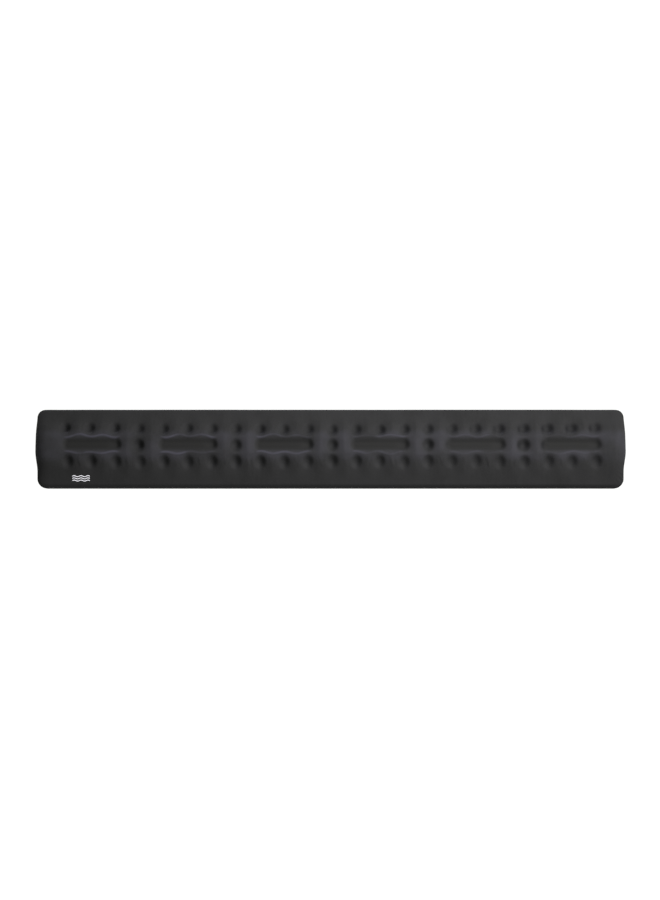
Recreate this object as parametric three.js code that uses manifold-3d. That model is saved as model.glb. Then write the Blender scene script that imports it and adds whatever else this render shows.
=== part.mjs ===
// A padded wrist rest for a full-size keyboard: a memory-foam bar in a moulded stretch-knit cover,
// on a non-slip rubber sheet. Millimetres, +X along the bar, +Y towards the keyboard, +Z up.
// The origin is the centre of the rubber sheet's underside.
import * as THREE from "three";
import { mergeVertices } from "three/addons/utils/BufferGeometryUtils.js";
import Module from "manifold-3d";

// Overall size of the bar
const LENGTH = 440;
const DEPTH = 60;
const HEIGHT = 21;

// Cross-section: a crown that eases out to a low flank, then rolls over to an upright wall
const FLANK_HEIGHT = 10; // where the crown's curve runs out
const WALL_HEIGHT = 6.4; // top of the upright wall, where the roll-over starts
const CROWN_FULLNESS = 1.3; // above 1, the crown is broad and the flank is short
const FLANK_EASE = 0.5; // 0 is a plain parabola, and 1 flattens the flank out altogether
const LONG_EDGE_ROLL = 3; // width of the roll-over along the front and back
const END_ROLL = 9; // width of the roll-over at each end
const END_WALL_HEIGHT = 12; // top of the upright wall at each end
const CORNER_RADIUS = 6.5; // in plan
const END_BULGE = 1.4; // the ends curve outwards by this much between their corners
const CORNER_STEPS = 6; // flats in each rounded corner
const FOOT_TUCK = 0.7; // the wall leans in by this much at its foot

// Layers
const SHEET_THICKNESS = 2;
const FILM_THICKNESS = 0.2;
const COVER_THICKNESS = 0.8;
const HEM_WIDTH = 7; // the cover's edge, turned in under the foam
const BOND_GAP = 0.3; // room for the hot-melt web between cover and foam
const SHEET_SETBACK = 0.8; // the rubber sheet ends this far inside the widest outline
const FILM_SETBACK = 2;

// Pressed-in pattern: three rows, in which a slot in the middle row takes the place of three dimples
const COLUMNS = 23;
const COLUMN_PITCH = 17.85;
const ROW_PITCH = 12.4;
const PATTERN_SHIFT = 1; // the pattern is moulded a little to the right of the middle
const SLOT_SPAN = 3; // columns that one slot covers
const DIMPLE = { rim: 4.6, floor: 2.6, depth: 4.5, sides: 8 };
const SLOT = { rim: 4.2, floor: 3.2, depth: 3.6, sides: 12 };
const PIT_REACH = 6; // how far a cutter stands out above the surface

// Printed mark on the front flank: three short wavy strips
const PRINT = { x: -185.5, y: -23.7, length: 13, width: 0.5, thickness: 0.2, pitch: 1.5 };
const PRINT_WAVE = { height: 0.35, count: 2.5, steps: 20 };

const EXTRA = 5; // how far a cutter runs past the faces that it doesn't shape

const COVER_BOTTOM = SHEET_THICKNESS + FILM_THICKNESS;
const HEM_TOP = COVER_BOTTOM + COVER_THICKNESS;

const wasm = await Module();
wasm.setup();

// A closed geometry as a manifold-3d solid.
function solidOf(geometry) {
  const bare = geometry.clone();
  bare.deleteAttribute("normal");
  bare.deleteAttribute("uv");
  const merged = mergeVertices(bare, 1e-4);
  return new wasm.Manifold(
    new wasm.Mesh({
      numProp: 3,
      vertProperties: new Float32Array(merged.attributes.position.array),
      triVerts: new Uint32Array(merged.index.array),
    }),
  );
}

// A solid's surface as a three.js geometry.
function geometryOf(solid) {
  const mesh = solid.getMesh();
  const stride = mesh.numProp;
  const corners = new Float32Array(mesh.numVert * 3);
  for (let i = 0; i < mesh.numVert; i++) {
    corners.set(mesh.vertProperties.subarray(i * stride, i * stride + 3), i * 3);
  }
  const geometry = new THREE.BufferGeometry();
  geometry.setAttribute("position", new THREE.BufferAttribute(corners, 3));
  geometry.setIndex(new THREE.BufferAttribute(new Uint32Array(mesh.triVerts), 1));
  const flat = geometry.toNonIndexed();
  flat.computeVertexNormals();
  return flat;
}

// Height of the crown's curve above the underside, before the long edges roll over: it falls from
// the middle line by a share of the rise that mixes a parabola with a cosine wave.
function crownHeight(y) {
  const across = Math.abs(y) / (DEPTH / 2);
  const wave = (1 - Math.cos(Math.PI * across ** CROWN_FULLNESS)) / 2;
  const fall = (1 - FLANK_EASE) * across ** 2 + FLANK_EASE * wave;
  return HEIGHT - (HEIGHT - FLANK_HEIGHT) * fall;
}

// Height of the top surface across the bar: the crown, with a quarter-round at each long edge.
function topHeight(y) {
  const past = Math.max(0, (Math.abs(y) - (DEPTH / 2 - LONG_EDGE_ROLL)) / LONG_EDGE_ROLL);
  return WALL_HEIGHT + (crownHeight(y) - WALL_HEIGHT) * Math.sqrt(Math.max(0, 1 - past ** 2));
}

// How steeply the top surface falls away at y, as an angle about +X.
function topTilt(y) {
  const step = 0.05;
  return Math.atan2(topHeight(y + step) - topHeight(y - step), 2 * step);
}

// A line moved sideways by a distance, to the right of its own direction.
function movedAside(line, distance) {
  return line.map((point, i) => {
    const before = line[Math.max(0, i - 1)];
    const after = line[Math.min(line.length - 1, i + 1)];
    const along = after.clone().sub(before).normalize();
    return new THREE.Vector2(point.x + along.y * distance, point.y - along.x * distance);
  });
}

// The bar's upper outline across its depth, from the front wall over the crown to the back wall.
function crossLine() {
  const half = DEPTH / 2;
  const flat = half - LONG_EDGE_ROLL;
  const rollSteps = 4;
  const crownSteps = 16;
  const places = [];
  for (let i = 0; i < rollSteps; i++) {
    places.push(-flat - LONG_EDGE_ROLL * Math.cos((i / rollSteps) * (Math.PI / 2)));
  }
  for (let i = 0; i <= crownSteps; i++) {
    places.push(flat * ((2 * i) / crownSteps - 1));
  }
  for (let i = 1; i <= rollSteps; i++) {
    places.push(flat + LONG_EDGE_ROLL * Math.sin((i / rollSteps) * (Math.PI / 2)));
  }
  return places.map((y) => new THREE.Vector2(y, topHeight(y)));
}

// The bar's upper outline along its length: a flat top with a quarter-ellipse at each end.
function endLine() {
  const centre = LENGTH / 2 - END_ROLL;
  const rise = HEIGHT - END_WALL_HEIGHT + 0.3; // just over the crown, so that only the ends are cut
  const steps = 6;
  const line = [];
  for (let i = 0; i <= steps; i++) {
    const turn = (i / steps) * (Math.PI / 2);
    const x = -centre - END_ROLL * Math.cos(turn);
    line.push(new THREE.Vector2(x, END_WALL_HEIGHT + rise * Math.sin(turn)));
  }
  const mirrored = line.map((point) => new THREE.Vector2(-point.x, point.y)).reverse();
  return [...line, ...mirrored];
}

// A closed outline: a line moved inwards, with walls that lean in towards their foot.
function walledShape(line, inset, bottom) {
  const inner = movedAside(line, inset);
  const first = inner[0];
  const last = inner[inner.length - 1];
  const lean = (FOOT_TUCK * (first.y - bottom)) / (first.y - SHEET_THICKNESS);
  return new THREE.Shape([
    new THREE.Vector2(first.x + lean, bottom),
    new THREE.Vector2(last.x - lean, bottom),
    ...inner.slice().reverse(),
  ]);
}

// A rounded rectangle in plan with its two ends curved outwards, centred on the origin.
function planShape(inset, segments) {
  const x = LENGTH / 2 - END_BULGE - inset;
  const y = DEPTH / 2 - inset;
  const radius = Math.max(1, CORNER_RADIUS - inset);
  const control = x + 2 * END_BULGE; // a quadratic curve reaches halfway to its control point
  const outline = new THREE.Path();
  outline.absarc(x - radius, y - radius, radius, 0, Math.PI / 2);
  outline.absarc(-x + radius, y - radius, radius, Math.PI / 2, Math.PI);
  outline.quadraticCurveTo(-control, 0, -x, -y + radius);
  outline.absarc(-x + radius, -y + radius, radius, Math.PI, Math.PI * 1.5);
  outline.absarc(x - radius, -y + radius, radius, Math.PI * 1.5, Math.PI * 2);
  outline.quadraticCurveTo(control, 0, x, y - radius);
  return new THREE.Shape(outline.getPoints(segments));
}

// A straight slab with the plan outline, between two heights.
function slab(inset, bottom, top) {
  const geometry = new THREE.ExtrudeGeometry(planShape(inset, CORNER_STEPS), {
    depth: top - bottom,
    bevelEnabled: false,
  });
  return solidOf(geometry.translate(0, 0, bottom));
}

// The bar's outer body moved inwards by inset, cut off flat at the bottom: what the cross-section,
// the end outline and the plan outline have in common.
function barBody(inset, bottom) {
  const reach = LENGTH + 2 * EXTRA;
  const width = DEPTH + 2 * EXTRA;
  const across = new THREE.ExtrudeGeometry(walledShape(crossLine(), inset, bottom), {
    depth: reach,
    bevelEnabled: false,
  });
  across.translate(0, 0, -reach / 2);
  across.applyMatrix4(new THREE.Matrix4().set(0, 0, 1, 0, 1, 0, 0, 0, 0, 1, 0, 0, 0, 0, 0, 1));
  const along = new THREE.ExtrudeGeometry(walledShape(endLine(), inset, bottom - EXTRA), {
    depth: width,
    bevelEnabled: false,
  });
  along.translate(0, 0, -width / 2).rotateX(Math.PI / 2);
  return solidOf(across)
    .intersect(solidOf(along))
    .intersect(slab(inset, bottom - EXTRA, HEIGHT + EXTRA));
}

// A tapered cutter at a place on the top surface, square to it. A length above 0 draws it out
// along X into a slot. Grown by the inset, it makes the pit that fits around an outer layer's pit.
function pitCutter(pit, x, y, length, inset) {
  const taper = (pit.rim - pit.floor) / pit.depth;
  const geometry = new THREE.CylinderGeometry(
    pit.rim + inset + taper * PIT_REACH,
    pit.floor + inset,
    pit.depth + PIT_REACH,
    pit.sides,
  );
  geometry.rotateX(Math.PI / 2);
  geometry.rotateZ(Math.PI / pit.sides);
  geometry.translate(0, 0, (PIT_REACH - pit.depth) / 2 - inset);
  const corners = geometry.getAttribute("position");
  for (let i = 0; i < corners.count; i++) {
    const side = Math.abs(corners.getX(i)) < 1e-6 ? 0 : Math.sign(corners.getX(i));
    corners.setX(i, corners.getX(i) + (side * length) / 2);
  }
  geometry.rotateX(topTilt(y));
  geometry.translate(x, y, topHeight(y));
  return solidOf(geometry);
}

// Where the pits lie: dimples in the two outer rows at every column, and in the middle row slots
// with a single dimple between each two.
function pitPlaces() {
  const firstX = PATTERN_SHIFT - (COLUMN_PITCH * (COLUMNS - 1)) / 2;
  const places = [];
  for (let column = 0; column < COLUMNS; column++) {
    const x = firstX + column * COLUMN_PITCH;
    places.push({ pit: DIMPLE, x, y: -ROW_PITCH, length: 0 });
    places.push({ pit: DIMPLE, x, y: ROW_PITCH, length: 0 });
    const inGroup = column % (SLOT_SPAN + 1);
    if (inGroup === SLOT_SPAN) {
      places.push({ pit: DIMPLE, x, y: 0, length: 0 });
    } else if (inGroup === (SLOT_SPAN - 1) / 2) {
      places.push({ pit: SLOT, x, y: 0, length: COLUMN_PITCH * (SLOT_SPAN - 1) });
    }
  }
  return places;
}

// The bar's body with its pits pressed in.
function pittedBody(inset, bottom) {
  return pitPlaces().reduce(
    (body, at) => body.subtract(pitCutter(at.pit, at.x, at.y, at.length, inset)),
    barBody(inset, bottom),
  );
}

// The knitted cover: a shell over the foam, with its hem turned in underneath.
function fabricCover() {
  const hollow = pittedBody(COVER_THICKNESS, HEM_TOP);
  const mouth = slab(COVER_THICKNESS + HEM_WIDTH, SHEET_THICKNESS, HEM_TOP + BOND_GAP);
  return pittedBody(0, COVER_BOTTOM).subtract(hollow).subtract(mouth);
}

// The foam bar: it fills the cover, and a shallow step lets it down between the hems.
function foamCore() {
  const inset = COVER_THICKNESS + BOND_GAP;
  const step = slab(inset + HEM_WIDTH, COVER_BOTTOM, HEM_TOP + 2 * BOND_GAP);
  return pittedBody(inset, HEM_TOP + BOND_GAP).add(step);
}

// One wavy strip of the printed mark, flat on its own ground plane.
function wavyStrip() {
  const line = [];
  for (let i = 0; i <= PRINT_WAVE.steps; i++) {
    const share = i / PRINT_WAVE.steps;
    const swing = PRINT_WAVE.height * Math.sin(2 * Math.PI * PRINT_WAVE.count * share);
    line.push(new THREE.Vector2(PRINT.length * (share - 0.5), swing));
  }
  const lower = line.map((point) => new THREE.Vector2(point.x, point.y - PRINT.width / 2));
  const upper = line.map((point) => new THREE.Vector2(point.x, point.y + PRINT.width / 2));
  return new THREE.ExtrudeGeometry(new THREE.Shape([...lower, ...upper.reverse()]), {
    depth: PRINT.thickness,
    bevelEnabled: false,
  });
}

const coverKnit = new THREE.MeshStandardMaterial({ color: 0x2b2b2d, roughness: 0.85, metalness: 0 });
const memoryFoam = new THREE.MeshStandardMaterial({ color: 0xd9d4c4, roughness: 0.95, metalness: 0 });
const bondFilm = new THREE.MeshStandardMaterial({ color: 0x262625, roughness: 0.5, metalness: 0 });
const blackRubber = new THREE.MeshStandardMaterial({ color: 0x1b1b1c, roughness: 0.7, metalness: 0 });
const printInk = new THREE.MeshStandardMaterial({ color: 0xe9e9ee, roughness: 0.6, metalness: 0 });

const wristRest = new THREE.Group();

function addPart(name, geometry, material, parent = wristRest) {
  const mesh = new THREE.Mesh(geometry, material);
  mesh.name = name;
  parent.add(mesh);
}

addPart("fabric_cover", geometryOf(fabricCover()), coverKnit);
addPart("foam_core", geometryOf(foamCore()), memoryFoam);
addPart("bond_film", geometryOf(slab(FILM_SETBACK, SHEET_THICKNESS, COVER_BOTTOM)), bondFilm);
addPart("rubber_base_sheet", geometryOf(slab(SHEET_SETBACK, 0, SHEET_THICKNESS)), blackRubber);

["front", "middle", "back"].forEach((place, i) => {
  const spot = new THREE.Group();
  const y = PRINT.y + (i - 1) * PRINT.pitch;
  spot.position.set(PRINT.x, y, topHeight(y));
  spot.rotation.x = topTilt(y);
  const strip = wavyStrip().translate(0, 0, BOND_GAP);
  addPart(`printed_wave_${place}`, strip, printInk, spot);
  wristRest.add(spot);
});

export default wristRest;
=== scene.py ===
import math

import bpy
import numpy as np
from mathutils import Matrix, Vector


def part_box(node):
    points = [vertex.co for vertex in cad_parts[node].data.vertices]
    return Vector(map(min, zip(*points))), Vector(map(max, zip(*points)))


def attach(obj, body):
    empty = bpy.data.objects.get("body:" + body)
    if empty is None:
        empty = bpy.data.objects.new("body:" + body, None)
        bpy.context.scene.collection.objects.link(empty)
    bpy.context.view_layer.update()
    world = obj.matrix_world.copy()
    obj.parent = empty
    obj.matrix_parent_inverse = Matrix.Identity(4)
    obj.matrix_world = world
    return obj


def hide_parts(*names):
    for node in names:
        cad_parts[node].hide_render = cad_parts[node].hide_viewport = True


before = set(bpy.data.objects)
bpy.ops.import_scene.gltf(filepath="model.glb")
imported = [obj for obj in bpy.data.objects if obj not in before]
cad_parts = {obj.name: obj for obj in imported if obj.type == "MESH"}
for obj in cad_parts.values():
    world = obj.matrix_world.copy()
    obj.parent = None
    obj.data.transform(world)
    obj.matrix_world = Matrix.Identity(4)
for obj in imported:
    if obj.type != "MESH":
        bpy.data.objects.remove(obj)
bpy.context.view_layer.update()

mm = 0.001  # everything below is in metres

coverLow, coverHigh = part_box("fabric_cover")
sheetLow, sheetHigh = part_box("rubber_base_sheet")

halfLength = (coverHigh.x - coverLow.x) / 2
halfDepth = (coverHigh.y - coverLow.y) / 2
crownTop = coverHigh.z
coverFoot = coverLow.z

# the bar's own shape, as the foam mould made it
bar = {
    "flankHeight": 10 * mm,  # where the crown's curve runs out, front and back
    "wallHeight": 6.4 * mm,  # top of the upright wall along the front and back
    "crownFullness": 1.3,  # above 1 keeps the crown full for longer before it falls
    "flankEase": 0.5,  # 0 falls as a parabola, and 1 as a cosine wave that eases into the flanks
    "longRoll": 2.3 * mm,  # width of the roll-over along the front and back
    "endRoll": 9 * mm,  # and at each end
    "endWallShare": 0.4,  # how far up the crown the end walls reach
    "cornerRadius": 6.5 * mm,
    "tightCorner": 0.8 * mm,  # the least radius of the hem's corners underneath
    "frontSetback": 1.7 * mm,  # the ends stand out between the aprons, more so at the front
    "backSetback": 0.6 * mm,
    "bulgeMiddle": 3 * mm,  # the widest stretch lies a little behind the middle
    "bulgeFrom": 6 * mm,
    "bulgeTo": 21.5 * mm,
    # both aprons fall a little and wave slowly along their length, but not at the ends
    "apronFrom": 14 * mm,
    "apronOver": 8 * mm,
    "apronEnds": 12 * mm,
    "apronFall": 0.176 * mm,
    "apronWave": 0.11 * mm,
    # each wave is its share, its angle per metre along x and along y, and its start
    "waves": ((1, 31, 9, 0.8), (0.6, 73, 0, -1.1), (0.4, 128, 0, 2.0)),
    "footTuck": 0.7 * mm,
    "footRadius": 1.2 * mm,
    "wallSwell": 0.25 * mm,
    "hem": 6 * mm,
}

# pressed-in pattern: three rows, where a slot in the middle row takes the place of three dimples
pattern = {
    "columns": 23,
    "pitch": 17.85 * mm,
    "rowPitch": 12.4 * mm,
    "shift": 1 * mm,  # it is moulded a little to the right of the middle
    "slotSpan": 3,
    "dimple": {"floor": 0.8 * mm, "rim": 5.0 * mm, "depth": 2.5 * mm},
    "slot": {"floor": 1.2 * mm, "rim": 5.0 * mm, "depth": 1.5 * mm},
    "dimpleTall": 0.84,  # below 1 makes the dimples deeper than they are wide, front to back
    "slotBack": 0.72,  # below 1 eases the slots' back walls, and above 1 steepens the front ones
    "slotFront": 1.06,
    "skirt": 2 * mm,  # how far the foam is drawn down round each pit, past its rim
    "skirtWidth": 6.6 * mm,
    "frontRow": 0.72,  # the front row is the shallower one
    "leftLobe": 1.2 * mm,  # towards the right end, a crease runs down the left of each pit
    "lobeWidth": 1.5 * mm,
    "lobeAway": 3.8 * mm,
    "lobeFrom": 50 * mm,  # it starts here and is full this much further to the right
    "lobeOver": 120 * mm,
    "lobeTall": 0.45,  # below 1 makes it longer than it is wide
    "backBow": 1.9 * mm,  # the back row's ends curve backwards
    "leftDrawn": 2.2 * mm,  # its first columns, and the middle row's, are drawn out to the left
    "drawnColumns": 5.5,
    "plumb": 0.5,  # 0 presses the pits in square to the face, and 1 straight down
    "slotPillow": 0.3 * mm,  # the slot's floor is puffed up along its middle
    "slotEndDrop": 0.6 * mm,  # and pressed deeper at its right end
    "slotEndWidth": 4 * mm,
    "depthSpread": 0.12,  # no two dimples come out of the mould alike
    "placeSpread": 0.35 * mm,
    "pitFade": 2 * mm,  # pits and creases fade out this close to the outline
    "seed": 7,
}
firstColumnX = pattern["shift"] - pattern["pitch"] * (pattern["columns"] - 1) / 2

# the knitted cover's mesh, its small creases, and its painted shade and painted sheen
cover = {
    "thickness": 0.8 * mm,
    "columns": 470,
    "rows": 70,
    "rollSteps": 9,
    "endSteps": 14,
    "wallSteps": 7,
    "footSteps": 4,
    "hemSteps": 3,
    # painted shade in the pits' bottoms and in the creases beside them, coloured darker
    "closedShare": 0.45,
    "closedRadius": 3.3 * mm,
    "closedAside": 1.3 * mm,  # most of it lies towards the right wall, which faces away from the light
    # share of the painted shade that the creases down the left of the pits get
    "lobeShare": 0.8,
    "puckerDepth": 0.4 * mm,
    "puckerWidth": 0.9 * mm,
    "puckerLength": 3.2 * mm,
    "puckerAside": 2 * mm,  # how far a pucker strays from midway between two dimples
    "puckerOut": (-1 * mm, 2 * mm),  # and outwards from their row
    "puckerLean": 0.35,
    "puckerLeast": 0.2,  # the faintest one's share of the full depth
    "backPuckers": 0.6,  # and the back row's share of it
    "veeAway": 10.5 * mm,  # from the dimple on its left
    "veeStray": 1 * mm,
    "veeFoot": 3 * mm,  # in front of the front row
    "veeLength": 3 * mm,  # half the length of its legs
    "veeWidth": 0.6 * mm,
    "veeLean": 0.32,
    "veeHeight": 0.3 * mm,
    "veeLeast": 0.1,
    # folds fan out round the front right corner
    "fanCentre": 14 * mm,  # in from both edges
    "fanRadius": 12 * mm,
    "fanWidth": 5 * mm,
    "fanAim": -0.6,  # radians from the right
    "fanSpread": 0.45,  # radians too
    "fanFolds": 26,
    "fanDepth": 0.45 * mm,
    "endShade": 0.5,  # share of the slots' painted shade that the ends get, where they turn down
    "endShadeWidth": 2.2 * mm,
    # a thin welt runs wavily along both sides of each slot, outwards between the dimples
    "weltBack": 7.2 * mm,  # how far from the slot's middle line, on its back side
    "weltFront": 5.7 * mm,  # and on its front side
    "weltWave": 0.75 * mm,
    "weltPhase": 0.6,  # radians either way
    "weltStrength": (0.6, 1.3),  # least and most, in shares of the wave above
    "weltDrift": (0.2, 0.6),  # the same for a second wave
    "weltDriftTurn": 0.45,  # which turns this much as fast
    "weltRightLoss": 0.5,  # share of the height that is lost by the right end
    "weltWidth": 0.85 * mm,
    "weltHeight": 0.35 * mm,
    "weltFade": 5 * mm,
    "groundSheen": 0.28,  # share of the welts' painted sheen that the ground between the pits gets
    "ridgeFrom": 8 * mm,  # from the middle line it is full up to here, and gone this much further
    "ridgeOver": 6 * mm,
    "freeFrom": 0.3 * mm,  # cloth pressed in less than this is untouched ground
    "freeOver": 2.2 * mm,
    "longShare": 0.78,  # of the half depth, past which the walls' cloth starts to run front to back
}


def smoothStep(t):
    # 3t^2 - 2t^3, held at 0 below the range and 1 above it
    t = np.clip(t, 0, 1)
    return t * t * (3 - 2 * t)


def quarterRound(t):
    # height of a quarter circle at t across its width: sqrt(1 - (1 - t)^2)
    return np.sqrt(np.clip(1 - (1 - np.clip(t, 0, 1)) ** 2, 0, 1))


def pastCorner(y):
    # how far y has gone into the rounded corner, from 0 to the corner's radius
    radius = bar["cornerRadius"]
    return np.clip(np.abs(y) - (halfDepth - radius), 0, radius)


def endSetback(y):
    # the ends bulge out between the aprons, so each apron is set back by a smooth step
    span = bar["bulgeTo"] - bar["bulgeFrom"]
    amount = np.where(y < 0, bar["frontSetback"], bar["backSetback"])
    return amount * smoothStep((np.abs(y - bar["bulgeMiddle"]) - bar["bulgeFrom"]) / span)


def halfLengthAt(y):
    # half the length at depth y, less the setback, less the quarter circle of the corner
    radius = bar["cornerRadius"]
    arc = radius - np.sqrt(np.clip(radius ** 2 - pastCorner(y) ** 2, 0, None))
    return halfLength - endSetback(y) - arc


def crownHeight(y):
    # falls from the middle line by a share of the rise that mixes a parabola with a cosine wave
    across = np.abs(y) / halfDepth
    wave = (1 - np.cos(np.pi * across ** bar["crownFullness"])) / 2
    fall = (1 - bar["flankEase"]) * across ** 2 + bar["flankEase"] * wave
    return crownTop - (crownTop - bar["flankHeight"]) * fall


def smoothTop(x, y):
    # the crown, brought down by a quarter round at each end and then along each long edge, less
    # a fall with three sine waves that come in towards the long edges by a smooth step
    crown = crownHeight(y)
    endWall = bar["wallHeight"] + (crown - bar["wallHeight"]) * bar["endWallShare"]
    fromEnd = halfLengthAt(y) - np.abs(x)
    z = endWall + (crown - endWall) * quarterRound(fromEnd / bar["endRoll"])
    fromEdge = halfDepth - np.abs(y)
    z = bar["wallHeight"] + (z - bar["wallHeight"]) * quarterRound(fromEdge / bar["longRoll"])
    apron = smoothStep((np.abs(y) - bar["apronFrom"]) / bar["apronOver"])
    apron = apron * smoothStep(fromEnd / bar["apronEnds"])
    slow = sum(
        share * np.sin(x * alongX + y * alongY + start)
        for share, alongX, alongY, start in bar["waves"]
    )
    return z - apron * (bar["apronFall"] + bar["apronWave"] * slow)


def pitPlaces():
    # centre, half length and depth factor of each pit, with a little spread from the moulding
    draw = np.random.default_rng(pattern["seed"])
    places = []
    for column in range(pattern["columns"]):
        x = firstColumnX + column * pattern["pitch"]
        inGroup = column % (pattern["slotSpan"] + 1)
        rows = [-1, 1]
        if inGroup == pattern["slotSpan"]:
            rows.append(0)
        drawn = 1 - smoothStep(column / pattern["drawnColumns"])
        for row in rows:
            shift = draw.uniform(-1, 1, 2) * pattern["placeSpread"]
            factor = 1 + draw.uniform(-1, 1) * pattern["depthSpread"]
            factor = factor * (pattern["frontRow"] if row < 0 else 1)
            px = x + shift[0]
            py = row * pattern["rowPitch"] + shift[1]
            if row >= 0:
                px = px - pattern["leftDrawn"] * drawn
            if row > 0:
                py = py + pattern["backBow"] * (x / halfLength) ** 2
            places.append((px, py, 0.0, factor))
        if inGroup == (pattern["slotSpan"] - 1) // 2:
            reach = pattern["pitch"] * (pattern["slotSpan"] - 1) / 2
            places.append((x, 0.0, reach, 1 + draw.uniform(-1, 1) * pattern["depthSpread"] / 2))
    return places


pits = pitPlaces()


def pitDistance(x, y, px, py, reach):
    # distance from a pit's centre point or centre line, with the front-to-back part stretched
    along = np.clip(np.abs(x - px) - reach, 0, None)
    stretch = pattern["dimpleTall"]
    if reach:
        stretch = np.where(y > py, pattern["slotBack"], pattern["slotFront"])
    return np.hypot(along, (y - py) * stretch)


def pitDepth(x, y):
    # a pit is deep inside its floor and eases out to its rim by a smooth step of the distance
    # from its centre line, and a wide bell curve draws the foam down around it; a slot also has
    # a puffed floor and a deeper right end
    depth = np.zeros_like(x)
    skirts = np.zeros_like(x)
    for px, py, reach, factor in pits:
        pit = pattern["slot"] if reach else pattern["dimple"]
        distance = pitDistance(x, y, px, py, reach)
        share = 1 - smoothStep((distance - pit["floor"]) / (pit["rim"] - pit["floor"]))
        made = pit["depth"] * factor * share
        if reach:
            inside = np.exp(-(distance / pit["floor"]) ** 2)
            rightEnd = np.exp(-((x - px - reach) / pattern["slotEndWidth"]) ** 2)
            made = made - pattern["slotPillow"] * inside * (1 - rightEnd)
            made = made + pattern["slotEndDrop"] * rightEnd * share
        depth = np.maximum(depth, made)
        bell = np.exp(-(distance / pattern["skirtWidth"]) ** 2)
        skirts = np.maximum(skirts, pattern["skirt"] * factor * bell)
    return depth + skirts + pattern["leftLobe"] * lobeShare(x, y)


def lobeShare(x, y):
    # a narrow bell curve down the left of each pit in the back and middle rows, which grows
    # towards the right end of the bar
    share = np.zeros_like(x)
    for px, py, reach, _ in pits:
        if py < -pattern["rowPitch"] / 2:
            continue
        away = np.hypot(x - px + reach + pattern["lobeAway"], (y - py) * pattern["lobeTall"])
        rightward = smoothStep((px - pattern["lobeFrom"]) / pattern["lobeOver"])
        share = share + rightward * np.exp(-(away / pattern["lobeWidth"]) ** 2)
    return share


def closedPile(x, y):
    # painted shade: a bell curve round each dimple, set towards its right wall, and the creases
    # beside them
    share = np.zeros_like(x)
    for px, py, reach, factor in pits:
        if reach == 0:
            away = np.hypot(x - px - cover["closedAside"], (y - py) * pattern["dimpleTall"])
            bell = np.exp(-(away / cover["closedRadius"]) ** 2)
            share = np.maximum(share, cover["closedShare"] * factor * bell)
    return np.clip(share + cover["lobeShare"] * lobeShare(x, y), 0, 1)


def weltShare(x, y):
    # 1 on top of the welt beside a slot: a bell curve across a line that waves with the
    # dimples' pitch, no two alike, faded out past the slot's ends and fainter to the right
    share = np.zeros_like(x)
    draw = np.random.default_rng(pattern["seed"] + 2)
    for px, _, reach, _ in pits:
        if reach:
            for side, away in ((-1, cover["weltFront"]), (1, cover["weltBack"])):
                phase = draw.uniform(-1, 1) * cover["weltPhase"]
                turn = 2 * np.pi * (x - px) / pattern["pitch"] + phase
                wave = draw.uniform(*cover["weltStrength"]) * np.cos(turn)
                drift = draw.uniform(*cover["weltDrift"])
                wave = wave + drift * np.sin(turn * cover["weltDriftTurn"] + draw.uniform(0, 6))
                line = away - cover["weltWave"] * wave
                across = np.exp(-((side * y - line) / cover["weltWidth"]) ** 2)
                along = 1 - smoothStep((np.abs(x - px) - reach) / cover["weltFade"])
                faint = 1 - cover["weltRightLoss"] * smoothStep(px / halfLength + 0.5)
                share = np.maximum(share, across * along * faint)
    return share


def slotShare(x, y):
    # 1 along the floor of a slot, easing out to 0 at its rim
    share = np.zeros_like(x)
    slot = pattern["slot"]
    for px, py, reach, _ in pits:
        if reach:
            distance = pitDistance(x, y, px, py, reach)
            inside = 1 - smoothStep((distance - slot["floor"]) / (slot["rim"] - slot["floor"]))
            share = np.maximum(share, inside)
    return share


def creaseDepth(x, y):
    # the slots' raised welts, short puckers between the dimples, raised Vs to the left of the
    # front ones, and folds that fan round the front right corner: each is a bell curve across
    # its line, faded out along it
    depth = -cover["weltHeight"] * weltShare(x, y)
    draw = np.random.default_rng(pattern["seed"] + 1)
    for column in range(pattern["columns"] - 1):
        for side in (-1, 1):
            px = firstColumnX + (column + 0.5) * pattern["pitch"]
            px = px + draw.uniform(-1, 1) * cover["puckerAside"]
            py = side * (pattern["rowPitch"] + draw.uniform(*cover["puckerOut"]))
            lean = draw.uniform(-1, 1) * cover["puckerLean"]
            strength = draw.uniform(cover["puckerLeast"], 1)
            strength = strength * (1 if side < 0 else cover["backPuckers"])
            across = (x - px - lean * (y - py)) / cover["puckerWidth"]
            length = (y - py) / cover["puckerLength"]
            depth = depth + strength * cover["puckerDepth"] * np.exp(-across ** 2 - length ** 2)
        for lean in (-cover["veeLean"], cover["veeLean"]):
            footX = firstColumnX + column * pattern["pitch"] + cover["veeAway"]
            footX = footX + draw.uniform(-1, 1) * cover["veeStray"]
            footY = -pattern["rowPitch"] - cover["veeFoot"]
            across = (x - footX - lean * (y - footY)) / cover["veeWidth"]
            length = (y - footY) / cover["veeLength"] - 1
            raised = draw.uniform(cover["veeLeast"], 1) * cover["veeHeight"]
            depth = depth - raised * np.exp(-across ** 2 - length ** 4)
    fromX = x - halfLength + cover["fanCentre"]
    fromY = y + halfDepth - cover["fanCentre"]
    turn = np.arctan2(fromY, fromX)
    away = np.hypot(fromX, fromY) - cover["fanRadius"]
    ring = np.exp(-(away / cover["fanWidth"]) ** 2)
    corner = np.exp(-((turn - cover["fanAim"]) / cover["fanSpread"]) ** 2)
    folds = (1 + np.cos(turn * cover["fanFolds"])) / 2
    return depth + cover["fanDepth"] * ring * corner * folds


def edgeSpaced(half, roll, rollSteps, steps):
    # places from -half to half: even in the middle, and closing up towards each end as the
    # cosine does, so that a quarter round there gets even steps round its arc
    arc = roll * (1 - np.cos(np.linspace(0, np.pi / 2, rollSteps + 1)))
    middle = np.linspace(-half + roll, half - roll, steps + 1)
    return np.concatenate([-half + arc[:-1], middle, half - arc[:-1][::-1]])


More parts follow.
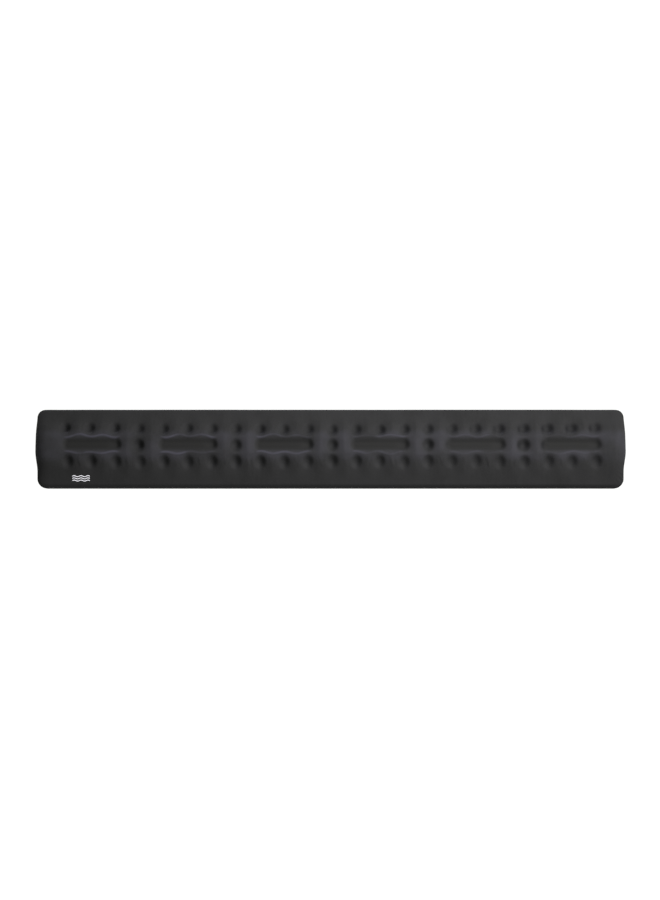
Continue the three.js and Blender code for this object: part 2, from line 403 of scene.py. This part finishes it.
def ringAround(xs, ys, d):
    # the outline moved in by d: corners keep their turn and shrink down to the tightest radius
    radius = bar["cornerRadius"]
    small = np.maximum(bar["tightCorner"], radius - d)
    setback = endSetback(np.sign(ys) * halfDepth)
    turn = np.arcsin(pastCorner(ys) / radius)
    inCorner = np.abs(ys) > halfDepth - radius
    onLong = np.isclose(np.abs(ys), halfDepth)
    straight = (halfDepth - d - small) / (halfDepth - radius)
    cornerX = halfLength - setback - d - small
    flatX = xs * cornerX / (halfLength - setback - radius)
    roundX = np.sign(xs) * (cornerX + small * np.cos(turn))
    endX = np.sign(xs) * (halfLength - endSetback(ys) - d)
    x = np.where(onLong, flatX, np.where(inCorner, roundX, endX))
    roundY = np.sign(ys) * (halfDepth - d - small + small * np.sin(turn))
    y = np.where(inCorner, roundY, ys * straight)
    return x, y


def gridFaces(index):
    # quads between neighbouring rows and columns of a grid of vertex numbers
    return np.stack(
        [index[:-1, :-1], index[:-1, 1:], index[1:, 1:], index[1:, :-1]], axis=-1
    ).reshape(-1, 4)


def sideFaces(upper, lower):
    # quads between two loops of vertex numbers, one below the other
    return np.stack([upper, lower, np.roll(lower, -1), np.roll(upper, -1)], axis=-1)


def meshFrom(name, points, faces, uv=None, shares=None):
    # shares are named values from 0 to 1, one for each vertex, that a material reads
    mesh = bpy.data.meshes.new(name)
    mesh.from_pydata(points.tolist(), [], faces.tolist())
    for label, values in (shares or {}).items():
        mesh.attributes.new(label, "FLOAT", "POINT").data.foreach_set("value", values)
    if uv is not None:
        layer = mesh.uv_layers.new(name="cloth")
        corners = np.zeros(len(mesh.loops), np.int32)
        mesh.loops.foreach_get("vertex_index", corners)
        layer.data.foreach_set("uv", uv[corners].astype(np.float32).ravel())
    mesh.polygons.foreach_set("use_smooth", np.ones(len(mesh.polygons), bool))
    mesh.update()
    piece = bpy.data.objects.new(name, mesh)
    bpy.context.scene.collection.objects.link(piece)
    return piece


def barGrid(columns, rows, endSteps, rollSteps):
    # plan places: rows closing up at the long edges, and each row stretched to its own length
    ys = edgeSpaced(halfDepth, bar["longRoll"], rollSteps, rows)
    share = edgeSpaced(halfLength, bar["endRoll"], endSteps, columns) / halfLength
    y = np.repeat(ys[:, None], len(share), axis=1)
    x = share[None, :] * halfLengthAt(y)
    return x, y


def gridNormals(points):
    # cross product of the slopes along the two directions of the grid, turned to unit length
    alongX = np.gradient(points, axis=1)
    alongY = np.gradient(points, axis=0)
    normal = np.cross(alongX, alongY)
    size = np.linalg.norm(normal, axis=-1, keepdims=True)
    return normal / np.maximum(size, 1e-12)


def loopOf(index):
    # vertex numbers round a grid's edge, anticlockwise from its front left corner
    return np.concatenate([index[0, :-1], index[:-1, -1], index[-1, :0:-1], index[:0:-1, 0]])


def closedSlab(name, top, bottom):
    # a top grid and a bottom grid of the same shape, joined round their edges
    index = np.arange(top[..., 0].size).reshape(top.shape[:2])
    under = index + index.size
    points = np.concatenate([top.reshape(-1, 3), bottom.reshape(-1, 3)])
    sides = sideFaces(loopOf(index), loopOf(under))
    faces = np.concatenate([gridFaces(index), gridFaces(under)[:, ::-1], sides])
    return meshFrom(name, points, faces)


def pressedTop(x, y):
    # the smooth top, with its pits and creases pressed in along a line between square to it and
    # plumb; near the outline they fade out, so the walls start from a clean line
    base = np.stack([x, y, smoothTop(x, y)], axis=-1)
    normal = gridNormals(base)
    edge = np.minimum(halfLengthAt(y) - np.abs(x), halfDepth - np.abs(y))
    fade = smoothStep(edge / pattern["pitFade"])[..., None]
    pressed = (pitDepth(x, y) + creaseDepth(x, y))[..., None]
    inward = normal * (1 - pattern["plumb"]) + np.array([0, 0, pattern["plumb"]])
    inward = inward / np.linalg.norm(inward, axis=-1, keepdims=True)
    return base - inward * pressed * fade


def wallProfile(zTop):
    # (distance in, height) pairs down the wall with a slight swell, round the foot and under
    tuck, foot = bar["footTuck"], bar["footRadius"]
    steps = []
    for share in np.linspace(0, 1, cover["wallSteps"] + 1)[1:]:
        swell = bar["wallSwell"] * math.sin(math.pi * share)
        steps.append((tuck * share - swell, zTop + (coverFoot + foot - zTop) * share))
    for turn in np.linspace(0, math.pi / 2, cover["footSteps"] + 1)[1:]:
        inward = tuck + foot * (1 - math.cos(turn))
        steps.append((inward, np.full_like(zTop, coverFoot + foot * (1 - math.sin(turn)))))
    for share in np.linspace(0, 1, cover["hemSteps"] + 1)[1:]:
        steps.append((tuck + foot + bar["hem"] * share, np.full_like(zTop, coverFoot)))
    return steps


def clothPlaces(top):
    # distance run along the cloth from the middle of the bar, in each direction of the grid
    runX = np.linalg.norm(np.diff(top, axis=1), axis=-1).cumsum(axis=1)
    runX = np.pad(runX, ((0, 0), (1, 0)))
    runX = runX - runX[:, [runX.shape[1] // 2]]
    runY = np.linalg.norm(np.diff(top, axis=0), axis=-1).cumsum(axis=0)
    runY = np.pad(runY, ((1, 0), (0, 0)))
    runY = runY - runY[[runY.shape[0] // 2], :]
    return np.stack([runX, runY], axis=-1).reshape(-1, 2)


def paintedLightShares(x, y):
    # painted shade on the slots' floors and the ends' roll-overs, painted sheen on the welts and
    # the ground between the pits, and painted shade in the pits and creases
    turnedDown = 1 - smoothStep((halfLengthAt(y) - np.abs(x)) / cover["endShadeWidth"])
    pressed = np.maximum(slotShare(x, y), cover["endShade"] * turnedDown)
    free = 1 - smoothStep((pitDepth(x, y) - cover["freeFrom"]) / cover["freeOver"])
    between = 1 - smoothStep((np.abs(y) - cover["ridgeFrom"]) / cover["ridgeOver"])
    welts = weltShare(x, y)
    return {
        "pressed": (pressed * (1 - welts)).ravel(),
        "crestSheen": np.maximum(cover["groundSheen"] * free * between, welts).ravel(),
        "closed": closedPile(x, y).ravel(),
    }


def knitCover():
    # the top grid, then rings of the outline carried down the walls, round the foot and in
    # under the foam as the hem; Solidify gives the cloth its thickness inwards
    x, y = barGrid(cover["columns"], cover["rows"], cover["endSteps"], cover["rollSteps"])
    top = pressedTop(x, y)
    index = np.arange(x.size).reshape(x.shape)
    loop = loopOf(index)
    points = [top.reshape(-1, 3)]
    faces = [gridFaces(index)]
    cloth = [clothPlaces(top)]

    edge = points[0][loop]
    # the walls' cloth runs on outwards, along y by the front and back and along x by the ends
    past = np.abs(edge[:, 1]) / halfDepth - cover["longShare"]
    outwardY = np.sign(edge[:, 1]) * smoothStep(past / (1 - cover["longShare"]))
    outwardX = np.sign(edge[:, 0]) * np.sqrt(np.clip(1 - outwardY ** 2, 0, 1))
    previous = loop
    before = edge
    run = np.zeros(len(loop))
    count = x.size
    for inward, z in wallProfile(edge[:, 2]):
        ringX, ringY = ringAround(edge[:, 0], edge[:, 1], inward)
        ring = np.stack([ringX, ringY, z], axis=-1)
        numbers = count + np.arange(len(loop))
        faces.append(sideFaces(previous, numbers))
        run = run + np.linalg.norm(ring - before, axis=-1)
        cloth.append(cloth[0][loop] + np.stack([outwardX * run, outwardY * run], axis=-1))
        points.append(ring)
        previous, before = numbers, ring
        count += len(loop)
    shares = paintedLightShares(x, y)
    for label, values in shares.items():
        shares[label] = np.pad(values, (0, count - len(values))).astype(np.float32)
    piece = meshFrom(
        "knit_cover", np.concatenate(points), np.concatenate(faces), np.concatenate(cloth), shares
    )
    shell = piece.modifiers.new("clothThickness", "SOLIDIFY")
    shell.thickness = cover["thickness"]
    shell.offset = -1
    shell.use_rim = True
    return piece


print("frame loaded")
knit = knitCover()
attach(knit, "root")
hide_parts("fabric_cover")
print("knit cover made:", len(knit.data.polygons), "faces")

# the foam bar inside, a little under the cover
foamBar = {
    "gap": 0.3 * mm,
    "columns": 300,
    "rows": 44,
    "rollSteps": 5,
    "endSteps": 7,
    "stepRise": 1.1 * mm,
    "footInset": 0.5 * mm,
    "edgeLean": 0.2,  # keeps neighbouring rows apart where they are held inside the outline
}


def foamCore():
    # the pressed cover moved in, square to its own face, by the cloth and the gap, and held
    # inside the outline; then closed by short walls that lean in and a flat floor above the hem
    x, y = barGrid(foamBar["columns"], foamBar["rows"], foamBar["endSteps"], foamBar["rollSteps"])
    outer = pressedTop(x, y)
    inset = cover["thickness"] + foamBar["gap"]
    top = outer - gridNormals(outer) * inset
    half = halfLengthAt(y)
    limitX = half - inset - foamBar["edgeLean"] * (half - np.abs(x))
    limitY = halfDepth - inset - foamBar["edgeLean"] * (halfDepth - np.abs(y))
    top[..., 0] = np.clip(top[..., 0], -limitX, limitX)
    top[..., 1] = np.clip(top[..., 1], -limitY, limitY)
    lean = bar["footTuck"] + foamBar["footInset"]
    shrink = np.array([1 - lean / (halfLength - inset), 1 - lean / (halfDepth - inset), 0])
    bottom = top * shrink + np.array([0, 0, coverFoot + foamBar["stepRise"]])
    return closedSlab("foam_bar", top, bottom)


foam = foamCore()
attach(foam, "root")
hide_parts("foam_core")
print("foam bar made:", len(foam.data.polygons), "faces")

# the rubber sheet, with low round studs moulded into its underside
sheet = {
    "cornerRadius": 5.7 * mm,
    "studPitch": 6 * mm,
    "rowShare": 0.866,  # rows of studs are this share of the pitch apart, as in a triangular grid
    "stepsPerStud": 8,  # along a row
    "stepsPerRow": 7,
    "endEase": 18 * mm,  # the grid closes up over this length to fit the curved ends
    "studRadius": 1.9 * mm,
    "studFlat": 0.55,  # share of the radius that stands flat on the desk
    "studHeight": 0.45 * mm,
    "studFrom": 1.5 * mm,  # the studs start this far from the rim
    "studOver": 3 * mm,  # and are full this much further in
}


def sheetOutline(y, halfX, halfY):
    # half the sheet's length at depth y: it follows the bar's bulged ends, with a quarter
    # circle off at each corner
    radius = sheet["cornerRadius"]
    past = np.clip(np.abs(y) - (halfY - radius), 0, radius)
    arc = radius - np.sqrt(np.clip(radius ** 2 - past ** 2, 0, None))
    return halfX - endSetback(y) - arc


def rubberSheet():
    # a flat top grid and an underside grid, joined round the rim; the underside is raised
    # everywhere but on the studs, which stand down to the desk as flattened domes in rows
    # that are offset by half a pitch; the grid is even, so that all studs get the same faces,
    # and only its last stretch is squeezed to fit the curved ends
    halfX = (sheetHigh.x - sheetLow.x) / 2
    halfY = (sheetHigh.y - sheetLow.y) / 2
    rowPitch = sheet["studPitch"] * sheet["rowShare"]
    stepX = sheet["studPitch"] / sheet["stepsPerStud"]
    stepY = rowPitch / sheet["stepsPerRow"]
    acrossCount = int(halfY / stepY)
    alongCount = int(halfX / stepX)
    ys = np.arange(-acrossCount, acrossCount + 1) * stepY
    ys[[0, -1]] = -halfY, halfY
    y = np.repeat(ys[:, None], 2 * alongCount + 1, axis=1)
    edgeX = sheetOutline(y, halfX, halfY)
    even = np.arange(-alongCount, alongCount + 1)[None, :] * stepX
    even[:, [0, -1]] = -halfX, halfX
    late = np.clip((np.abs(even) - halfX) / sheet["endEase"] + 1, 0, 1)
    x = even - np.sign(even) * (halfX - edgeX) * late
    row = np.round(y / rowPitch)
    offset = np.where(row % 2 == 0, 0.0, 0.5)
    column = np.round(x / sheet["studPitch"] - offset)
    nearX = x - (column + offset) * sheet["studPitch"]
    nearY = y - row * rowPitch
    distance = np.hypot(nearX, nearY) / sheet["studRadius"]
    stud = 1 - smoothStep((distance - sheet["studFlat"]) / (1 - sheet["studFlat"]))
    margin = np.minimum(edgeX - np.abs(x), halfY - np.abs(y))
    stud = stud * smoothStep((margin - sheet["studFrom"]) / sheet["studOver"])
    bottom = np.stack([x, y, sheetLow.z + sheet["studHeight"] * (1 - stud)], axis=-1)
    top = np.stack([x, y, np.full_like(x, sheetHigh.z)], axis=-1)
    return closedSlab("grip_sheet", top, bottom)


rubber = rubberSheet()
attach(rubber, "root")
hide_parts("rubber_base_sheet")
print("rubber sheet made:", len(rubber.data.polygons), "faces")

# the printed mark: three wavy strips of ink that lie on the cloth
mark = {
    "width": 0.5 * mm,
    "wave": 0.35 * mm,
    "waves": 2.5,
    "thickness": 0.1 * mm,
    "lift": 0.04 * mm,
    "steps": 80,
    "acrossSteps": 4,
}


def inkStrip(name, lowX, highX, middleY):
    # a band of even width along a sine wave, laid on the cloth's top and lifted along its normal
    along = np.linspace(lowX, highX, mark["steps"] + 1)
    swing = mark["wave"] * np.sin(2 * np.pi * mark["waves"] * (along - lowX) / (highX - lowX))
    across = np.linspace(-0.5, 0.5, mark["acrossSteps"] + 1) * mark["width"]
    x = np.repeat(along[None, :], len(across), axis=0)
    y = middleY + swing[None, :] + across[:, None]
    base = np.stack([x, y, smoothTop(x, y)], axis=-1)
    normal = gridNormals(base)
    top = base + normal * (mark["lift"] + mark["thickness"])
    return closedSlab(name, top, base + normal * mark["lift"])


inkStrips = []
for place in ("front", "middle", "back"):
    node = "printed_wave_" + place
    low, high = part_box(node)
    strip = inkStrip("ink_wave_" + place, low.x, high.x, (low.y + high.y) / 2)
    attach(strip, "root")
    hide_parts(node)
    inkStrips.append(strip)
print("printed strips made")


def linearOf(hexColour):
    # sRGB hex to the linear colour that shaders take
    parts = [int(hexColour[i:i + 2], 16) / 255 for i in (1, 3, 5)]
    return [c / 12.92 if c <= 0.04045 else ((c + 0.055) / 1.055) ** 2.4 for c in parts] + [1]


def addNode(tree, kind, inputs=None, **settings):
    # a node of this kind with its settings; an input is a value, or the socket that feeds it
    node = tree.nodes.new(kind)
    for name, value in settings.items():
        setattr(node, name, value)
    for name, value in (inputs or {}).items():
        if isinstance(value, bpy.types.NodeSocket):
            tree.links.new(value, node.inputs[name])
        else:
            node.inputs[name].default_value = value
    return node


def newMaterial(name):
    material = bpy.data.materials.new(name)
    material.use_nodes = True
    material.node_tree.nodes.clear()
    return material, material.node_tree


def shadeWith(tree, inputs):
    shader = addNode(tree, "ShaderNodeBsdfPrincipled", inputs)
    addNode(tree, "ShaderNodeOutputMaterial", {"Surface": shader.outputs["BSDF"]})


# the knit's colours, and the sizes and shares of what breaks them up
knitFinish = {
    "yarn": "#212121",
    "between": "#171716",
    "crestSheen": "#38373f",  # painted sheen on the welts and the crests between the pits
    "pressed": "#1a1a19",  # painted shade on the slots' floors and on the ends' roll-overs
    "closed": "#0b0b0c",  # painted shade in the pits and the creases beside them
    # real wales are about 0.35 mm apart, which can't show at this size, so they are drawn wider
    "wale": 0.8 * mm,
    "course": 0.65 * mm,
    # faint lines where the cloth was pulled over the crown, 2 mm wide and 11 mm long
    "pulls": (1 / (2 * mm), 1 / (11 * mm), 1 / (11 * mm)),
    "fuzz": 1.4 * mm,  # mottling by loose fibres
    "patch": 22 * mm,  # broad patches where the nap lies differently
    # each one's share of the tone, and the range of their sum from the darkest to the palest
    "pullShare": 0.4,
    "fuzzShare": 0.35,
    "loopShare": 0.45,
    "darkest": 0.55,
    "palest": 1.2,
    # how far the patches break up the painted sheen on the welts and crests
    "blotches": {"From Min": 0.38, "From Max": 0.6, "To Min": 0.3, "To Max": 1.0},
    "loopRelief": 0.15 * mm,
    "fibreRelief": 0.2 * mm,
    "roughness": 0.82,
    "ior": 1.46,
    "gloss": 0.16,  # loose fibres trap most of the mirror-like part
    "sheen": 0.06,
    "sheenTint": "#c9c8dc",
}


def polyesterJersey():
    # warp-knitted polyester and elastane, heat-pressed over foam: matt, with rows of tiny
    # V-shaped loops, and a faint pale bloom where the light grazes it; its colour also carries
    # painted shade in the pits, slots and ends, and a painted sheen on the welts and crests
    material, tree = newMaterial("polyesterJersey")
    cloth = addNode(tree, "ShaderNodeUVMap", uv_map="cloth")
    parts = addNode(tree, "ShaderNodeSeparateXYZ", {"Vector": cloth.outputs["UV"]})
    wales = addNode(tree, "ShaderNodeMath", {0: parts.outputs["X"], 1: 1 / knitFinish["wale"]},
                    operation="MULTIPLY")
    lean = addNode(tree, "ShaderNodeMath", {0: wales.outputs[0], 1: 0.5}, operation="PINGPONG")
    courses = addNode(tree, "ShaderNodeMath",
                      {0: parts.outputs["Y"], 1: 1 / knitFinish["course"], 2: lean.outputs[0]},
                      operation="MULTIPLY_ADD")
    bands = addNode(tree, "ShaderNodeMath", {0: courses.outputs[0], 1: 0.5}, operation="PINGPONG")
    loops = addNode(tree, "ShaderNodeMath", {0: bands.outputs[0], 1: lean.outputs[0]},
                    operation="ADD")
    place = addNode(tree, "ShaderNodeTexCoord")
    fuzz = addNode(tree, "ShaderNodeTexNoise",
                   {"Vector": place.outputs["Object"], "Scale": 1 / knitFinish["fuzz"],
                    "Detail": 3.0})
    patches = addNode(tree, "ShaderNodeTexNoise",
                      {"Vector": place.outputs["Object"], "Scale": 1 / knitFinish["patch"],
                       "Detail": 3.0})
    stretched = addNode(tree, "ShaderNodeMapping",
                        {"Vector": place.outputs["Object"], "Scale": knitFinish["pulls"]})
    pulls = addNode(tree, "ShaderNodeTexNoise",
                    {"Vector": stretched.outputs["Vector"], "Scale": 1.0, "Detail": 2.0})
    streaks = addNode(tree, "ShaderNodeMath",
                      {0: pulls.outputs["Fac"], 1: knitFinish["pullShare"],
                       2: patches.outputs["Fac"]}, operation="MULTIPLY_ADD")
    mottle = addNode(tree, "ShaderNodeMath",
                     {0: fuzz.outputs["Fac"], 1: knitFinish["fuzzShare"], 2: streaks.outputs[0]},
                     operation="MULTIPLY_ADD")
    tone = addNode(tree, "ShaderNodeMath",
                   {0: loops.outputs[0], 1: knitFinish["loopShare"], 2: mottle.outputs[0]},
                   operation="MULTIPLY_ADD")
    levelled = addNode(tree, "ShaderNodeMapRange",
                       {"Value": tone.outputs[0], "From Min": knitFinish["darkest"],
                        "From Max": knitFinish["palest"]})
    colour = addNode(tree, "ShaderNodeValToRGB", {"Fac": levelled.outputs["Result"]})
    colour.color_ramp.elements[0].color = linearOf(knitFinish["between"])
    colour.color_ramp.elements[1].color = linearOf(knitFinish["yarn"])
    # painted sheen: the welts and the crests between the pits are coloured lighter and bluer
    crestSheen = addNode(tree, "ShaderNodeAttribute", attribute_name="crestSheen")
    blotches = addNode(tree, "ShaderNodeMapRange",
                       {"Value": patches.outputs["Fac"], **knitFinish["blotches"]})
    sheenMask = addNode(tree, "ShaderNodeMath", {0: crestSheen.outputs["Fac"], 1: blotches.outputs["Result"]},
                  operation="MULTIPLY")
    # painted shade on the slots' floors and on the ends' roll-overs, left off the welts
    pressed = addNode(tree, "ShaderNodeAttribute", attribute_name="pressed")
    # sockets 6 and 7 of a Mix are its two colours, and its third output is the mixed one
    lifted = addNode(tree, "ShaderNodeMix",
                     {0: sheenMask.outputs[0], 6: colour.outputs["Color"],
                      7: linearOf(knitFinish["crestSheen"])}, data_type="RGBA")
    slotShaded = addNode(tree, "ShaderNodeMix",
                   {0: pressed.outputs["Fac"], 6: lifted.outputs[2],
                    7: linearOf(knitFinish["pressed"])}, data_type="RGBA")
    # painted shade in the pits and the creases beside them
    closed = addNode(tree, "ShaderNodeAttribute", attribute_name="closed")
    shadedColour = addNode(tree, "ShaderNodeMix",
                   {0: closed.outputs["Fac"], 6: slotShaded.outputs[2],
                    7: linearOf(knitFinish["closed"])}, data_type="RGBA")
    relief = addNode(tree, "ShaderNodeBump",
                     {"Height": loops.outputs[0], "Strength": 0.35,
                      "Distance": knitFinish["loopRelief"]})
    fibres = addNode(tree, "ShaderNodeBump",
                     {"Height": fuzz.outputs["Fac"], "Strength": 0.3,
                      "Distance": knitFinish["fibreRelief"], "Normal": relief.outputs["Normal"]})
    shadeWith(tree, {
        "Base Color": shadedColour.outputs[2],
        "Roughness": knitFinish["roughness"],
        "IOR": knitFinish["ior"],
        "Specular IOR Level": knitFinish["gloss"],
        "Sheen Weight": knitFinish["sheen"],
        "Sheen Tint": linearOf(knitFinish["sheenTint"]),
        "Sheen Roughness": 0.5,
        "Normal": fibres.outputs["Normal"],
    })
    return material


def memoryFoam():
    # slow-rebound polyurethane foam, cast with open cells: pale, chalky and finely pitted
    material, tree = newMaterial("memoryFoam")
    place = addNode(tree, "ShaderNodeTexCoord")
    cells = addNode(tree, "ShaderNodeTexVoronoi",
                    {"Vector": place.outputs["Object"], "Scale": 1 / (0.9 * mm)})
    colour = addNode(tree, "ShaderNodeValToRGB", {"Fac": cells.outputs["Distance"]})
    colour.color_ramp.elements[0].color = linearOf("#b9b29c")
    colour.color_ramp.elements[1].color = linearOf("#ded8c6")
    relief = addNode(tree, "ShaderNodeBump",
                     {"Height": cells.outputs["Distance"], "Strength": 0.6, "Distance": 0.3 * mm})
    shadeWith(tree, {"Base Color": colour.outputs["Color"], "Roughness": 0.95, "IOR": 1.5,
                     "Normal": relief.outputs["Normal"]})
    return material


def hotMeltFilm():
    # cast hot-melt adhesive film, filled with carbon black: dark, with a slight orange peel
    material, tree = newMaterial("hotMeltFilm")
    place = addNode(tree, "ShaderNodeTexCoord")
    peel = addNode(tree, "ShaderNodeTexNoise",
                   {"Vector": place.outputs["Object"], "Scale": 1 / (3 * mm), "Detail": 2.0})
    colour = addNode(tree, "ShaderNodeValToRGB", {"Fac": peel.outputs["Fac"]})
    colour.color_ramp.elements[0].color = linearOf("#1f1f1e")
    colour.color_ramp.elements[1].color = linearOf("#2b2b29")
    relief = addNode(tree, "ShaderNodeBump",
                     {"Height": peel.outputs["Fac"], "Strength": 0.2, "Distance": 0.1 * mm})
    shadeWith(tree, {"Base Color": colour.outputs["Color"], "Roughness": 0.45, "IOR": 1.48,
                     "Normal": relief.outputs["Normal"]})
    return material


def pressedRubber():
    # black natural-rubber sheet, pressed in a mould: dull, faintly grained and a little dusty
    material, tree = newMaterial("pressedRubber")
    place = addNode(tree, "ShaderNodeTexCoord")
    grain = addNode(tree, "ShaderNodeTexNoise",
                    {"Vector": place.outputs["Object"], "Scale": 1 / (0.8 * mm), "Detail": 4.0})
    dust = addNode(tree, "ShaderNodeTexNoise",
                   {"Vector": place.outputs["Object"], "Scale": 1 / (18 * mm), "Detail": 3.0})
    colour = addNode(tree, "ShaderNodeValToRGB", {"Fac": dust.outputs["Fac"]})
    colour.color_ramp.elements[0].position = 0.3
    colour.color_ramp.elements[0].color = linearOf("#141415")
    colour.color_ramp.elements[1].position = 0.75
    colour.color_ramp.elements[1].color = linearOf("#242425")
    dull = addNode(tree, "ShaderNodeMapRange",
                   {"Value": dust.outputs["Fac"], "To Min": 0.58, "To Max": 0.78})
    relief = addNode(tree, "ShaderNodeBump",
                     {"Height": grain.outputs["Fac"], "Strength": 0.35, "Distance": 0.1 * mm})
    shadeWith(tree, {"Base Color": colour.outputs["Color"], "Roughness": dull.outputs["Result"],
                     "IOR": 1.52, "Normal": relief.outputs["Normal"]})
    return material


def transferInk():
    # white heat-transfer print on cloth: flat, a touch glossier than the knit, worn at random
    material, tree = newMaterial("transferInk")
    place = addNode(tree, "ShaderNodeTexCoord")
    wear = addNode(tree, "ShaderNodeTexNoise",
                   {"Vector": place.outputs["Object"], "Scale": 1 / (0.7 * mm), "Detail": 3.0})
    colour = addNode(tree, "ShaderNodeValToRGB", {"Fac": wear.outputs["Fac"]})
    colour.color_ramp.elements[0].position = 0.25
    colour.color_ramp.elements[0].color = linearOf("#cfced8")
    colour.color_ramp.elements[1].position = 0.5
    colour.color_ramp.elements[1].color = linearOf("#f8f7fd")
    relief = addNode(tree, "ShaderNodeBump",
                     {"Height": wear.outputs["Fac"], "Strength": 0.25, "Distance": 0.05 * mm})
    shadeWith(tree, {"Base Color": colour.outputs["Color"], "Roughness": 0.55, "IOR": 1.5,
                     "Normal": relief.outputs["Normal"]})
    return material


def finishWith(piece, material):
    piece.data.materials.clear()
    piece.data.materials.append(material)


finishWith(knit, polyesterJersey())
finishWith(foam, memoryFoam())
finishWith(rubber, pressedRubber())
finishWith(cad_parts["bond_film"], hotMeltFilm())
ink = transferInk()
for strip in inkStrips:
    finishWith(strip, ink)
print("materials set")

# plain studio: pale floor, white surroundings, one broad key from the right and a little behind
studio = {
    "floorSize": 8.0,
    "floorDrop": 0.1 * mm,  # so that the studs and the floor don't share a plane
    "floor": "#fbfbfb",
    "surroundings": 0.28,
    "air": "#fcfff2",
    "key": {"power": 3.1, "spread": 78, "colour": "#fdfcff", "size": 0.4,
            "from": (0.44, 0.19, 0.6), "aim": (-0.03, 0.0, 0.0)},
    # lights the floor alone, so that it stays evenly pale
    "sweep": {"power": 110.0, "spread": 180, "colour": "#ffffff", "size": 3.0,
              "from": (0.0, 0.0, 3.0), "aim": (0.0, 0.0, 0.0)},
}


def studioFloor():
    corners = np.array([[-1, -1], [1, -1], [1, 1], [-1, 1]]) * studio["floorSize"] / 2
    points = np.pad(corners, ((0, 0), (0, 1)), constant_values=-studio["floorDrop"])
    plane = meshFrom("studio_floor", points, np.array([[0, 1, 2, 3]]))
    plane.visible_diffuse = False  # it throws no light up at the walls
    material, tree = newMaterial("paleBackdrop")
    shadeWith(tree, {"Base Color": linearOf(studio["floor"]), "Roughness": 0.9})
    finishWith(plane, material)
    return plane


def groupOf(name, pieces):
    group = bpy.data.collections.new(name)
    for piece in pieces:
        group.objects.link(piece)
    return group


def softLight(name, lit):
    # a square soft box turned from its place to its aim; it lights only one group of pieces,
    # and only that group casts shadows from it
    box = studio[name]
    lamp = bpy.data.lights.new(name, "AREA")
    lamp.energy = box["power"]
    lamp.size = box["size"]
    lamp.spread = math.radians(box["spread"])
    lamp.color = linearOf(box["colour"])[:3]
    light = bpy.data.objects.new(name, lamp)
    light.location = box["from"]
    light.rotation_mode = "QUATERNION"
    facing = Vector(box["aim"]) - Vector(box["from"])
    light.rotation_quaternion = facing.to_track_quat("-Z", "Y")
    bpy.context.scene.collection.objects.link(light)
    light.light_linking.receiver_collection = lit
    light.light_linking.blocker_collection = lit


floor = studioFloor()
barGroup = groupOf("barPieces", [knit, foam, rubber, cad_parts["bond_film"]] + inkStrips)
floorGroup = groupOf("floorPieces", [floor])
softLight("key", barGroup)
softLight("sweep", floorGroup)

world = bpy.data.worlds.new("whiteRoom")
world.use_nodes = True
world.node_tree.nodes["Background"].inputs["Color"].default_value = linearOf(studio["air"])
world.node_tree.nodes["Background"].inputs["Strength"].default_value = studio["surroundings"]
bpy.context.scene.world = world
bpy.context.scene.view_settings.view_transform = "Standard"

# a long lens from nearly overhead, a little towards the user's side
shot = {
    "elevation": 77.3,
    "distance": 2.0,
    "lens": 106.8,
    "aim": Vector((-0.0004, 0.0, 0.0026)),
}
lift = math.radians(shot["elevation"])
back = Vector((0, -math.cos(lift), math.sin(lift)))
lensData = bpy.data.cameras.new("camera")
lensData.lens = shot["lens"]
lensData.sensor_width = 36
camera = bpy.data.objects.new("camera", lensData)
camera.location = shot["aim"] + back * shot["distance"]
camera.rotation_mode = "QUATERNION"
camera.rotation_quaternion = (-back).to_track_quat("-Z", "Y")
bpy.context.scene.collection.objects.link(camera)
bpy.context.scene.camera = camera
print("studio and camera set")
